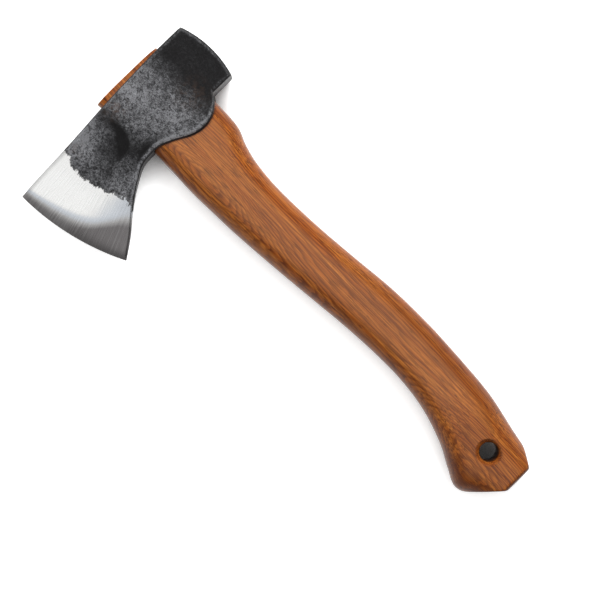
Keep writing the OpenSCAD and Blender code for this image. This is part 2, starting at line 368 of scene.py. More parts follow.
def cheek(u, v, from_poll, from_top, from_low, seed):
    """Height of one cheek's face over the head's middle plane."""
    z, d = half_thickness(u, v)
    blade = ramp(u, EYE_FRONT - 2, EYE_FRONT + 12)
    # The heel is ground thinner than the toe.
    z = z * (1 - 0.34 * ramp(v, 34, 82) * ramp(d, 0.5, 12) * ramp(u, 84, 104))
    r = np.hypot(u - HOLLOW_U, v - HOLLOW_V) / HOLLOW_RADIUS
    z -= HOLLOW_DEPTH * np.clip(1 - r ** 2, 0, 1) ** 1.3
    # Hammer marks on the forged faces fade out on the ground steel.
    forged = 1 - ramp(u - ground_line(v), -6, 0)
    z -= forged * (0.05 + 0.05 * lumps(u, v, 9, seed)) * ramp(d, 30, 40)
    z -= forged * 0.05 * (1 + lumps(u, v, 2.6, seed + 7)) * ramp(u, 16, 34) * ramp(d, 22, 34)
    # Bevels along every border but the cutting edge.
    room = np.maximum(z, 0.04) * 0.62
    ground = 1 - forged
    for distance, width, drop in (
        (from_top, 1.3 + 2.2 * ground, 1.2 - 0.3 * ground),
        (from_low, 1.7 - 0.3 * blade, 1.35 - 0.45 * blade),
        (from_poll, 2.3, 2.0),
    ):
        share = np.clip(1 - distance / width, 0, 1)
        z = z - np.minimum(drop, room) * share ** 1.35
    # Nothing stands outside the CAD head.
    return np.clip(z, EDGE_HALF_THICKNESS, MIDDLE_Z / MM)


GROUND_LINE = [
    (0, 106.2), (3.3, 105.8), (7.3, 105.6), (10.8, 107.4), (14.5, 108.8), (20.3, 108.8), (25.3, 108.3),
    (30.3, 107.6), (35.3, 106.2), (40.3, 104.1), (43.8, 102.1), (47.3, 100.2), (50.3, 99.4), (53.3, 99.9),
    (57, 101.5), (80, 108),
]


def ground_line(v):
    """u where the forged skin ends and the ground steel begins."""
    return smooth_table(GROUND_LINE, v)


def build_head():
    u, v, from_poll, from_top, from_low = head_grid()
    columns, rows = u.shape
    up = cheek(u, v, from_poll, from_top, from_low, UPPER_SEED)
    low = -cheek(u, v, from_poll, from_top, from_low, LOWER_SEED)
    points = list(np.stack([u, v, up], axis=-1).reshape(-1, 3))
    count = columns * rows
    points += list(np.stack([u, v, low], axis=-1).reshape(-1, 3))
    faces = []
    for i in range(columns - 1):
        for j in range(rows - 1):
            a, b = i * rows + j, (i + 1) * rows + j
            faces.append((a, b, b + 1, a + 1))
            faces.append((count + a, count + a + 1, count + b + 1, count + b))
    # The border runs along the top, down the edge, back along the underside and up the poll.
    loop = [i * rows for i in range(columns)]
    loop += [(columns - 1) * rows + j for j in range(1, rows)]
    loop += [i * rows + rows - 1 for i in range(columns - 2, -1, -1)]
    loop += [j for j in range(rows - 2, 0, -1)]
    previous = loop
    for k in range(1, SIDE_LAYERS + 1):
        share = k / SIDE_LAYERS
        if k == SIDE_LAYERS:
            current = [count + a for a in loop]
        else:
            current = []
            for a in loop:
                p, q = points[a], points[count + a]
                current.append(len(points))
                points.append(p + (q - p) * share)
        n = len(loop)
        for m in range(n):
            faces.append((previous[m], current[m], current[(m + 1) % n], previous[(m + 1) % n]))
        previous = current
    head = new_object("forged_head", np.array(points), faces)
    make_outward(head)
    cut(head, eye_cutter())
    cut(head, throat_cutter())
    shade(head, 32)
    return head


def oval(v, back, front, thickness, power, count):
    """A ring of points on a squarish oval at one v."""
    a = full_turn(count)
    c, s = np.cos(a), np.sin(a)
    return np.stack([
        (front + back) / 2 + (front - back) / 2 * np.sign(c) * abs(c) ** (2 / power),
        np.full(count, float(v)),
        thickness / 2 * np.sign(s) * abs(s) ** (2 / power),
    ], axis=-1)


# How square the ovals are: 2 is an ellipse.
TENON_POWER = 2.8
GRIP_POWER = 2.3
# Points round the handle, round the eye's cutter and round anything turned.
HANDLE_POINTS, EYE_POINTS, TURNED_POINTS = 176, 128, 96


def tenon_ring(v, grow, count):
    return oval(v, EYE_BACK - grow, EYE_FRONT + grow - EYE_TAPER * v / POLL_HEIGHT,
                EYE_WIDTH + 2 * grow, TENON_POWER, count)


def eye_cutter():
    return stack("eye_cutter", [tenon_ring(v, EYE_FIT, EYE_POINTS) for v in (-20, POLL_HEIGHT + 1)])


def throat_cutter():
    """The blind throat between the lugs, under the eye."""
    side = EYE_WIDTH / 2 + EYE_FIT
    back, front, low = -20, EYE_FRONT_LOW + EYE_FIT, POLL_HEIGHT + 30
    outline = [(back, POLL_HEIGHT), (front, POLL_HEIGHT), (front, low), (back, low)]
    return prism("throat_cutter", outline, -side, side)


# ---- Handle ----

LUG_TIP = POLL_HEIGHT + LUG_DROP
SHOULDER_STEP = 0.3
SHOULDER_WIDTH, WAIST_WIDTH, GRIP_WIDTH, KNOB_WIDTH = 47.5, 36.5, 35.0, 48.5
SHOULDER_THICKNESS, GRIP_THICKNESS = 24.5, 22.5
GRIP_SWEEP, KNOB_REACH = 11.5, 10.0
LUG_GAP = 0.3


def down(share):
    """v at a share of the way from the lugs' tips to the handle's end."""
    return LUG_TIP + share * (HANDLE_END - LUG_TIP)


# Place down the handle, set-back of the front edge, width and thickness.
STATIONS = np.array([
    (POLL_HEIGHT + SHOULDER_STEP, 0, SHOULDER_WIDTH, SHOULDER_THICKNESS),
    (down(0.03), -0.3, SHOULDER_WIDTH, SHOULDER_THICKNESS),
    (down(0.055), -0.5, SHOULDER_WIDTH - 0.9, SHOULDER_THICKNESS),
    (down(0.085), -0.6, 0.5 * (SHOULDER_WIDTH + WAIST_WIDTH) + 1.3, SHOULDER_THICKNESS),
    (down(0.13), -0.1, WAIST_WIDTH + 3.3, 0.5 * (SHOULDER_THICKNESS + GRIP_THICKNESS)),
    (down(0.2), 0.07 * GRIP_SWEEP, WAIST_WIDTH + 1, GRIP_THICKNESS + 0.5),
    (down(0.31), 0.3 * GRIP_SWEEP, WAIST_WIDTH - 0.4, GRIP_THICKNESS),
    (down(0.41), 0.56 * GRIP_SWEEP, GRIP_WIDTH + 0.7, GRIP_THICKNESS),
    (down(0.53), 0.87 * GRIP_SWEEP, GRIP_WIDTH + 0.7, GRIP_THICKNESS),
    (down(0.64), GRIP_SWEEP, GRIP_WIDTH, GRIP_THICKNESS),
    (down(0.71), 0.91 * GRIP_SWEEP, GRIP_WIDTH + 0.4, GRIP_THICKNESS),
    (down(0.76), 0.7 * GRIP_SWEEP, GRIP_WIDTH + 2.1, GRIP_THICKNESS + 0.7),
    (down(0.8), 0.42 * GRIP_SWEEP, GRIP_WIDTH + 4.6, 0.6 * GRIP_THICKNESS + 0.4 * KNOB_THICKNESS),
    (down(0.84), 0.05 * GRIP_SWEEP, 0.5 * (GRIP_WIDTH + KNOB_WIDTH) + 0.8, KNOB_THICKNESS - 1),
    (down(0.88), -0.53 * KNOB_REACH, KNOB_WIDTH - 2.3, KNOB_THICKNESS),
    (down(0.92), -KNOB_REACH, KNOB_WIDTH, KNOB_THICKNESS),
    (down(0.96), -0.6 * KNOB_REACH, KNOB_WIDTH - 5.8, KNOB_THICKNESS),
    (down(1) + 20, 0, KNOB_WIDTH - 14, KNOB_THICKNESS),
])
KNOB_SQUARE_FROM = EYE_BACK + 15.2
KNOB_SQUARE_TO = KNOB_SQUARE_FROM + 18.5
KNOB_FACET = (KNOB_SQUARE_TO + 19, HANDLE_END - 16.3)
# The sawn end is rounded over little in plan and more towards the cheeks.
KNOB_PLAN_ROUND, KNOB_CHEEK_ROUND = 1.3, 3.4


def soft_min(a, b, r):
    """The smaller of two lengths, rounded over r where they meet."""
    h = np.clip(0.5 + 0.5 * (b - a) / r, 0, 1)
    return b + (a - b) * h - r * h * (1 - h)


def handle_ring(v, inset):
    """One ring of the handle, with the knob's sawn facets taken off."""
    setback = float(smooth_table(STATIONS[:, [0, 1]], v))
    width = float(smooth_table(STATIONS[:, [0, 2]], v))
    thickness = float(smooth_table(STATIONS[:, [0, 3]], v))
    powers = [(POLL_HEIGHT, TENON_POWER), (down(0.2), GRIP_POWER), (HANDLE_END, GRIP_POWER)]
    power = float(smooth_table(powers, v))
    front = EYE_FRONT_LOW - setback
    back = front - width
    near_end = float(ramp(v, down(0.86), HANDLE_END))
    middle = (front + back) / 2 * (1 - near_end) + (KNOB_SQUARE_FROM + KNOB_SQUARE_TO) / 2 * near_end
    a = full_turn(HANDLE_POINTS)
    c, s = np.cos(a), np.sin(a)
    # Reach of the oval from the middle, found along each direction.
    low, high = np.zeros(HANDLE_POINTS), np.full(HANDLE_POINTS, 60.0)
    for _ in range(40):
        mid = (low + high) / 2
        inside = (abs((middle + mid * c - (front + back) / 2) / (width / 2)) ** power
                  + abs(mid * s / (thickness / 2)) ** power) < 1
        low, high = np.where(inside, mid, low), np.where(inside, high, mid)
    reach = low
    if v > down(0.8):
        run, rise = KNOB_FACET[0] - KNOB_SQUARE_TO, HANDLE_END - KNOB_FACET[1]
        facet = KNOB_SQUARE_TO + (HANDLE_END - v) / rise * run
        heel = KNOB_SQUARE_FROM - (HANDLE_END - v) * 4.5 / 7
        ahead = np.where(c > 0.02, (facet - middle) / np.maximum(c, 0.02), 200)
        behind = np.where(c < -0.02, (middle - heel) / np.maximum(-c, 0.02), 200)
        reach = soft_min(reach, ahead, 1.6)
        reach = soft_min(reach, behind, 1.6)
    reach = np.maximum(reach - inset, 0.2)
    return np.stack([middle + reach * c, np.full(HANDLE_POINTS, float(v)), reach * s], axis=-1)


def rounding(short, radius):
    """How far a rounded edge has drawn in at a distance short of the end."""
    return radius * (1 - math.sqrt(1 - max(0.0, 1 - short / radius) ** 2))


def build_handle():
    rings = []
    for inset, below in ((9.0, 0), (3.0, 0), (0.7, 0), (0.4, 0), (0.15, 0.1), (0.03, 0.3), (0.0, 0.7)):
        rings.append(tenon_ring(-TENON_PROUD + below, -inset, HANDLE_POINTS))
    for v in np.linspace(-TENON_PROUD + 1.5, POLL_HEIGHT, 24):
        rings.append(tenon_ring(v, 0, HANDLE_POINTS))
    grip = np.arange(POLL_HEIGHT + SHOULDER_STEP, down(0.8), 1.0)
    knob = np.arange(down(0.8), HANDLE_END - 3.6, 0.6)
    for v in np.concatenate([grip, knob]):
        rings.append(handle_ring(v, 0))
    for short in (3.4, 3.1, 2.7, 2.3, 1.9, 1.5, 1.2, 0.9, 0.6, 0.38, 0.2, 0.08, 0.0):
        ring = handle_ring(HANDLE_END - short, rounding(short, KNOB_PLAN_ROUND))
        flat = rounding(short, KNOB_CHEEK_ROUND)
        ring[:, 2] *= 1 - 0.85 * flat / (KNOB_THICKNESS / 2)
        rings.append(ring)
    last = rings[-1]
    for share in (0.8, 0.55, 0.3, 0.12):
        rings.append(last.mean(axis=0) + (last - last.mean(axis=0)) * share)
    handle = stack("wood_handle", rings)
    # The cheeks of the wood are let in under the lugs.
    outline_u = np.concatenate([[POLL_NECK - 30], np.linspace(POLL_NECK, EYE_FRONT_LOW + 8, 90)])
    low = [(float(a), float(b) + LUG_GAP) for a, b in zip(outline_u, bottom_line(outline_u))]
    above = 20.0
    outline = [(low[0][0], above)] + low + [(low[-1][0], above)]
    for side in (1, -1):
        cut(handle, prism("lug_seat", outline, side * EYE_WIDTH / 2, side * CHEEK_WIDTH))
    cut(handle, kerf_solid("kerf", 1.0))
    cut(handle, ring_solid("ring_seat"))
    cut(handle, hole_cutter())
    shade(handle, 34)
    return handle


def kerf_solid(name, past):
    """The kerf's tapered slot, reaching past the tenon's top and both ends."""
    top, foot = -TENON_PROUD, KERF_DEPTH - TENON_PROUD
    profile = [(top - past, WEDGE_TOP / 2), (top, WEDGE_TOP / 2), (foot, WEDGE_FOOT / 2),
               (foot, -WEDGE_FOOT / 2), (top, -WEDGE_TOP / 2), (top - past, -WEDGE_TOP / 2)]
    back, front = EYE_BACK - 10, EYE_FRONT + 10
    return bar(name, [(back, v, z) for v, z in profile], [(front, v, z) for v, z in profile])


def ring_solid(name):
    """The ring wedge, a turned tube whose wall thins to an edge at its foot."""
    outer, inner, chamfer = RING_D / 2, RING_D / 2 - RING_WALL, 0.25
    middle = (EYE_BACK + EYE_FRONT) / 2
    # Distance along the ring and radius, all the way round its wall.
    profile = [(chamfer, inner), (0, inner + chamfer), (0, outer - chamfer), (chamfer, outer),
               (RING_HEIGHT, outer), (RING_HEIGHT, outer - 0.3), (0.4 * RING_HEIGHT, inner)]
    points, faces = [], []
    for along, radius in profile:
        for a in full_turn(TURNED_POINTS):
            points.append((middle + radius * math.cos(a), along - TENON_PROUD, radius * math.sin(a)))
    for i in range(len(profile)):
        start, end = i * TURNED_POINTS, (i + 1) % len(profile) * TURNED_POINTS
        for k in range(TURNED_POINTS):
            m = (k + 1) % TURNED_POINTS
            faces.append((start + k, start + m, end + m, end + k))
    obj = new_object(name, points, faces)
    make_outward(obj)
    return obj


def hole_cutter():
    """The hanging hole, countersunk from both sides, as one turned solid."""
    bore = HOLE_D / 2
    deep = KNOB_THICKNESS / 2 - HOLE_CHAMFER
    # Distance from the middle plane and radius, with the bore's lip softened.
    half = [(0, bore), (deep - 0.8, bore), (deep - 0.2, bore + 0.12), (deep + 0.4, bore + 0.55),
            (deep + HOLE_CHAMFER, bore + HOLE_CHAMFER + 0.15),
            (deep + HOLE_CHAMFER + 2, bore + HOLE_CHAMFER + 2.4)]
    profile = [(-along, radius) for along, radius in half[::-1]] + half[1:]
    a = full_turn(TURNED_POINTS)
    rings = [
        np.stack([HOLE_U + radius * np.cos(a), HOLE_V + radius * np.sin(a), np.full(len(a), along)], axis=-1)
        for along, radius in profile
    ]
    return stack("hole_cutter", rings)


def build_wedge():
    """The wooden wedge fills the kerf inside the tenon's outline."""
    wedge = kerf_solid("oak_wedge", 0.0)
    rings = [tenon_ring(v, -0.02, HANDLE_POINTS) for v in (-TENON_PROUD, POLL_HEIGHT)]
    combine(wedge, stack("tenon_outline", rings), "INTERSECT")
    cut(wedge, ring_solid("ring_seat"))
    shade(wedge, 30)
    return wedge


head = build_head()
handle = build_handle()
wedge = build_wedge()
ring = ring_solid("steel_ring")
shade(ring, 30)

for piece, node, slot in (
    (head, "head", "forged_steel"),
    (handle, "handle", "handle_wood"),
    (wedge, "wooden_wedge", "wedge_wood"),
    (ring, "ring_wedge", "ring_steel"),
):
    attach(piece, "root")
    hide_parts(node)

# ---- Camera: straight down on the upper cheek ----

CAMERA_HEIGHT = 1.3
AIM_U, AIM_V = 66.3, 166.0
PICTURE_WIDTH = 0.36
SENSOR_MM = 36.0
camera_data = bpy.data.cameras.new("camera")
camera = bpy.data.objects.new("camera", camera_data)
bpy.context.scene.collection.objects.link(camera)
picture_right = Vector((-0.696, -0.718, 0.0)).normalized()
picture_up = Vector((0.718, -0.696, 0.0)).normalized()
turn = Matrix((picture_right, picture_up, picture_right.cross(picture_up))).transposed().to_4x4()
turn.translation = Vector(to_row((AIM_U, AIM_V, 0.0))) + Vector((0, 0, CAMERA_HEIGHT))
camera.matrix_world = turn
camera_data.sensor_width = SENSOR_MM
camera_data.lens = SENSOR_MM * CAMERA_HEIGHT / PICTURE_WIDTH
camera_data.clip_start = 0.01
camera_data.clip_end = 20.0
bpy.context.scene.camera = camera

# ---- Materials ----


class Shader:
    """Adds nodes to a new material and joins them by name."""

    def __init__(self, name):
        self.material = bpy.data.materials.new(name)
        self.material.use_nodes = True
        self.tree = self.material.node_tree
        self.surface = self.tree.nodes["Principled BSDF"]

    def add(self, kind, inputs=None, **settings):
        node = self.tree.nodes.new("ShaderNode" + kind)
        for key, value in settings.items():
            setattr(node, key, value)
        for key, value in (inputs or {}).items():
            self.set(node.inputs[key], value)
        return node

    def set(self, socket, value):
        if isinstance(value, bpy.types.NodeSocket):
            self.tree.links.new(value, socket)
        else:
            socket.default_value = value

    def math(self, operation, *values):
        node = self.add("Math", operation=operation)
        for i, value in enumerate(values):
            self.set(node.inputs[i], value)
        return node.outputs[0]

    def attribute(self, name):
        return self.add("Attribute", attribute_name=name).outputs["Fac"]

    def position(self, scale):
        """Place on the object in millimetres, stretched by the scale along X, Y and Z."""
        place = self.add("TexCoord").outputs["Object"]
        stretch = tuple(k / MM for k in scale)
        return self.add("VectorMath", {0: place, 1: stretch}, operation="MULTIPLY").outputs[0]

    def noise(self, vector, scale=1.0, detail=3.0, roughness=0.55, distortion=0.0):
        return self.add("TexNoise", {
            "Vector": vector, "Scale": scale, "Detail": detail, "Roughness": roughness,
            "Distortion": distortion,
        }).outputs["Fac"]

    def range(self, value, low, high, to_low=0.0, to_high=1.0, smooth=True):
        return self.add("MapRange", {
            "Value": value, "From Min": low, "From Max": high, "To Min": to_low, "To Max": to_high,
        }, interpolation_type="SMOOTHSTEP" if smooth else "LINEAR").outputs[0]

    def mix(self, share, a, b, blend="MIX"):
        node = self.add("Mix", data_type="RGBA", blend_type=blend)
        self.set(node.inputs["Factor"], share)
        self.set(node.inputs["A"], (*a, 1) if isinstance(a, tuple) else a)
        self.set(node.inputs["B"], (*b, 1) if isinstance(b, tuple) else b)
        return node.outputs["Result"]

    def mix_value(self, share, a, b):
        node = self.add("Mix", data_type="FLOAT")
        self.set(node.inputs["Factor"], share)
        self.set(node.inputs["A"], a)
        self.set(node.inputs["B"], b)
        return node.outputs["Result"]

    def bump(self, height, distance, strength=1.0, below=None):
        inputs = {"Height": height, "Distance": distance * MM, "Strength": strength}
        if below is not None:
            inputs["Normal"] = below
        return self.add("Bump", inputs).outputs["Normal"]

    def paint(self, obj, **values):
        for key, value in values.items():
            self.set(self.surface.inputs[key.replace("_", " ")], value)
        obj.data.materials.clear()
        obj.data.materials.append(self.material)


def blob(u, v, at, size):
    return np.exp(-((u - at[0]) / size[0]) ** 2 - ((v - at[1]) / size[1]) ** 2)


def patches(u, v, table, base=0.0):
    """The base with soft patches added. Each row has a patch's middle, its size and its height."""
    for at, size, height in table:
        base = base + height * blob(u, v, at, size)
    return base


# Where the scale is lighter or darker. Part of this is its own tone, and part is painted shade and painted
# highlight in and round the hollow, with a painted shadow where the lug meets the wood. The rust table says
# where it is rusty.
TONE_AND_SHADE_PATCHES = (
    ((53, 7), (9, 8), 0.42), ((44, 34), (7, 12), 0.16), ((66, 40), (9, 7), -0.38),
    ((61, 17), (5, 6), 0.14), ((92, 4), (12, 7), 0.78), ((98, 12), (6, 8), 0.42),
    ((84, 24), (9, 7), -0.17), ((94, 44), (15, 7), 0.30), ((101, 47), (5, 6), 0.3),
    ((79, 12), (4.5, 6), 0.2),
)
RUST_PATCHES = (((66, 7), (6, 6), 0.9), ((28, 34), (9, 8), 0.55), ((99, 7), (5, 5), 0.4))


def paint_head(obj):
    u, v, z = head_coordinates(obj)
    # Distances in from the cutting edge, from the underside's rim and from the nearest other border.
    inset = EDGE_RADIUS - np.hypot(u - EDGE_U, v - EDGE_V)
    rim = np.where(v > 0.5 * POLL_HEIGHT, bottom_line(u) - v, 20)
    border = np.minimum(np.minimum(v - smooth_table(TOP_LINE, u), u - poll_u(v)), rim)
    # 1 on the cheeks and the blade, 0 in the middle of the poll's face and the top, and in the eye.
    side = ramp(abs(z), 8, 12.5) * (1 - ramp(u, 60, 80)) + ramp(u, 60, 80)
    write_attribute(obj, "ground", u - ground_line(v))
    write_attribute(obj, "arc", np.arctan2(v - EDGE_V, u - EDGE_U) * EDGE_RADIUS)
    write_attribute(obj, "inset", inset)
    # How light the scale is, its own tone mixed with painted shade and painted highlight: dark on the poll
    # and in the hollow, lightest over the eye and past the hollow.
    tone_and_shade = 0.03 + 0.5 * ramp(u, 20, 46) * (1 - ramp(u, 56, 82)) + 0.24 * ramp(u, 74, 84)
    tone_and_shade = patches(u, v, TONE_AND_SHADE_PATCHES, tone_and_shade)
    # Painted shade: the hollow's wall on the poll side is darkened in a crescent.
    du, dv = (u - HOLLOW_U) / HOLLOW_RADIUS, (v - HOLLOW_V) / HOLLOW_RADIUS
    reach = np.hypot(du, dv)
    around = (-0.9 * du + 0.42 * dv) / np.maximum(reach, 0.05)
    tone_and_shade -= 0.2 * ramp(reach, 0.5, 0.92) * (1 - ramp(reach, 0.92, 1.15)) * ramp(around, -0.3, 0.8)
    # A painted highlight runs along the arris above the underside's rim, strongest by the lug, and the rim
    # below it stays black.
    tone_and_shade += (0.5 + 0.8 * blob(u, v, (60, 45), (12, 8))) * np.exp(-((rim - 2.0) / 0.9) ** 2) * ramp(u, 20, 32)
    # A thin painted highlight runs along every border, and painted shade darkens each border's very edge to
    # black.
    tone_and_shade += 0.16 * np.exp(-((border - 1.5) / 0.7) ** 2)
    tone_and_shade = np.clip(tone_and_shade, 0.01, 1.3) * ramp(border, 0.35, 0.95)
    write_attribute(obj, "tone_and_shade", tone_and_shade * side + 0.1 * (1 - side))
    write_attribute(obj, "rust", patches(u, v, RUST_PATCHES))
    # Painted reflection: the bevel and the heel are darkened against the ground face, standing for the darker
    # room they reflect.
    bevel = 3.4 + 0.13 * v + 6.5 * ramp(v, 44, 64)
    dark_reflection = 0.92 * (1 - ramp(inset / bevel, 0.45, 1.95)) + 0.4 * ramp(v, 34, 60)
    write_attribute(obj, "dark_reflection", np.clip(dark_reflection, 0, 1))

    s = Shader("forged_steel")
    place = s.position((1, 1, 1))
    tone_and_shade = s.attribute("tone_and_shade")
    # Forge scale: a mottled skin with light flecks and dark pits where it has flaked.
    cloud = s.noise(place, 0.13, 4, 0.6)
    mottle = s.noise(place, 0.55, 6, 0.75, 0.5)
    grit = s.noise(place, 1.5, 3, 0.65)
    light = s.math("MULTIPLY", tone_and_shade, s.range(cloud, 0.32, 0.68, 0.6, 1.3))
    light = s.math("MULTIPLY", light, s.range(mottle, 0.38, 0.64, 0.3, 1.75))
    light = s.math("MULTIPLY", light, s.range(grit, 0.38, 0.62, 0.5, 1.55))
    scale_colour = s.mix(s.range(light, 0, 1, 0, 1, False), (0.0085, 0.0080, 0.0084), (0.30, 0.302, 0.318))
    fleck = s.math("MULTIPLY", s.range(s.noise(place, 0.62, 3, 0.55, 0.8), 0.61, 0.66), tone_and_shade)
    scale_colour = s.mix(s.math("MULTIPLY", fleck, 0.75), scale_colour, (0.46, 0.475, 0.50))
    pit = s.range(s.noise(place, 0.55, 4, 0.6, 1.2), 0.40, 0.34)
    scale_colour = s.mix(s.math("MULTIPLY", pit, 0.75), scale_colour, (0.02, 0.019, 0.02))
    rust = s.math("MULTIPLY", s.attribute("rust"), s.range(s.noise(place, 0.35, 4, 0.65), 0.42, 0.62))
    scale_colour = s.mix(s.math("MULTIPLY", rust, 0.55), scale_colour, (0.13, 0.075, 0.05))
    # Ground steel: bright, with fine lines that run in from the edge.
    lines = s.add("CombineXYZ", {
        "X": s.attribute("arc"), "Y": s.math("MULTIPLY", s.attribute("inset"), 0.012),
    }).outputs[0]
    fine = s.noise(lines, 5.0, 3, 0.65)
    broad = s.noise(lines, 0.7, 2, 0.5)
    # The painted dark reflection on the bevel and heel, with a painted bluish reflection between its dark and
    # bright ends.
    dark_reflection = s.math("MULTIPLY", s.attribute("dark_reflection"), s.range(broad, 0.3, 0.7, 0.95, 1.05))
    dark_reflection = s.math("ADD", dark_reflection, s.range(fine, 0.3, 0.7, -0.035, 0.035))
    ground_colour = s.mix(s.range(dark_reflection, 0.0, 1.0, 0, 1, False), (0.84, 0.84, 0.83), (0.15, 0.141, 0.142))
    blue_reflection = s.math("MULTIPLY", s.range(dark_reflection, 0.05, 0.3), s.range(dark_reflection, 0.75, 0.35))
    ground_colour = s.mix(s.math("MULTIPLY", blue_reflection, 0.35), ground_colour, (0.42, 0.50, 0.62))
    # The skin ends in a ragged line.
    coarse = s.range(s.noise(place, 0.42, 4, 0.65), 0.2, 0.8, -2.6, 2.6, False)
    ragged = s.math("ADD", s.attribute("ground"), coarse)
    ragged = s.math("ADD", ragged, s.range(s.noise(lines, 0.9, 2, 0.5), 0.3, 0.7, -0.8, 0.8, False))
    ground = s.range(ragged, -0.18, 0.22)
    skin = s.math("SUBTRACT", 1.0, ground)
    worn = s.math("MULTIPLY", s.range(ragged, -1.3, -0.2), skin)
    scale_colour = s.mix(s.math("MULTIPLY", worn, 0.35), scale_colour, (0.3, 0.3, 0.3))
    bump = s.bump(s.math("MULTIPLY", mottle, skin), 0.35, 0.9)
    bump = s.bump(s.math("MULTIPLY", grit, skin), 0.07, 0.7, bump)
    bump = s.bump(s.math("MULTIPLY", fine, ground), 0.008, 0.6, bump)
    bump = s.bump(skin, 0.06, 0.8, bump)
    s.paint(
        obj,
        Base_Color=s.mix(ground, scale_colour, ground_colour),
        Roughness=s.mix_value(
            ground, s.range(mottle, 0.3, 0.7, 0.4, 0.58), s.range(fine, 0.3, 0.7, 0.22, 0.32)
        ),
        Metallic=s.mix_value(ground, 0.7, 0.86),
        Normal=bump,
    )


def paint_wood(obj, name, tint, seed, pith, ring_gap, shaded):
    """Hardwood with its grain along X: growth rings round a far pith, streaks, fibres and open pores."""
    s = Shader(name)
    place = s.position((1, 1, 1))
    moved = s.add("VectorMath", {0: place, 1: (seed, seed * 0.37, seed * 0.71)}, operation="ADD").outputs[0]

    def along(x, across):
        return s.add("VectorMath", {0: moved, 1: (x, across, across)}, operation="MULTIPLY").outputs[0]

    axis = s.add("SeparateXYZ", {0: place}).outputs
    sway = s.range(s.noise(along(0.007, 0.02), 1.0, 2, 0.5), 0.25, 0.75, -5, 5, False)
    across = s.math("ADD", s.math("SUBTRACT", axis["Y"], pith[0]), sway)
    deep = s.math("SUBTRACT", axis["Z"], pith[1])
    ring = s.math("SQRT", s.math("ADD", s.math("MULTIPLY", across, across), s.math("MULTIPLY", deep, deep)))
    ring = s.math("ADD", ring, s.range(s.noise(along(0.014, 0.12), 1.0, 3, 0.6), 0.2, 0.8, -1.0, 1.0, False))
    if shaded:
        ring = s.math("ADD", ring, s.attribute("figure"))
    phase = s.math("FRACT", s.math("DIVIDE", ring, ring_gap))
    late = s.math("MULTIPLY", s.range(phase, 0.25, 0.85), s.range(phase, 1.0, 0.9))
    streak = s.noise(along(0.006, 0.3), 1.0, 4, 0.6)
    thread = s.noise(along(0.014, 1.5), 1.0, 3, 0.65)
    fibre = s.noise(along(0.05, 3.0), 1.0, 3, 0.6)
    pore = s.range(s.noise(along(0.08, 2.4), 1.0, 1, 0.4), 0.59, 0.65)
    dark, middle, light = tint
    colour = s.mix(s.range(streak, 0.34, 0.66), middle, light)
    colour = s.mix(s.math("MULTIPLY", late, s.range(streak, 0.3, 0.7, 0.9, 0.45)), colour, dark)
    colour = s.mix(s.range(thread, 0.5, 0.37, 0, 0.68), colour, dark)
    colour = s.mix(s.range(thread, 0.55, 0.68, 0, 0.5), colour, light)
    colour = s.mix(s.range(s.noise(along(0.005, 0.08), 1.0, 2, 0.5), 0.48, 0.7, 0, 0.45), colour, dark)
    colour = s.mix(s.range(fibre, 0.3, 0.7, 0.4, 0.0), colour, dark)
    open_pore = s.math("MULTIPLY", pore, s.mix_value(late, 0.8, 0.3))
    colour = s.mix(open_pore, colour, tuple(k * 0.3 for k in dark))
    if shaded:
        # A painted sheen makes the cheeks paler and greyer down their middle, where they are also rubbed.
        # Painted shade darkens the front of the grip, the knob's sawn end, the hole and the line along the
        # lugs, with oil in the end grain as well.
        colour = s.mix(s.math("MULTIPLY", s.attribute("sheen_and_rubbing"), 0.2), colour, (0.39, 0.20, 0.105))
        colour = s.mix(s.math("MULTIPLY", s.attribute("shade_and_oil"), 0.85), colour, tuple(k * 0.25 for k in dark))
    bump = s.bump(fibre, 0.03, 0.35)
    bump = s.bump(s.math("SUBTRACT", 1.0, open_pore), 0.05, 0.5, bump)
    s.surface.inputs["Specular IOR Level"].default_value = 0.32
    s.paint(
        obj,
        Base_Color=colour,
        Roughness=s.range(fibre, 0.25, 0.75, 0.27, 0.38),
        Normal=bump,
    )


def paint_ring(obj):
    s = Shader("ring_steel")
    place = s.position((1, 1, 1))
    cloud = s.noise(place, 0.6, 4, 0.6)
    lines = s.noise(s.position((0.3, 4, 4)), 1.0, 2, 0.5)
    colour = s.mix(s.range(cloud, 0.35, 0.7), (0.34, 0.34, 0.345), (0.56, 0.56, 0.565))
    s.surface.inputs["Metallic"].default_value = 1.0
    s.paint(
        obj,
        Base_Color=colour,
        Roughness=s.range(lines, 0.3, 0.7, 0.28, 0.46),
        Normal=s.bump(lines, 0.02, 0.4),
    )


# Where the wood's rings swell under the shoulder and the knob, and show there as nested arches.
FIGURE_PATCHES = (
    ((54.5, 80), (9, 36), 8.5), ((55, 288), (11, 34), 6.0), ((34, 205), (10, 60), 2.5),
    ((48, 165), (9, 50), -1.6),
)


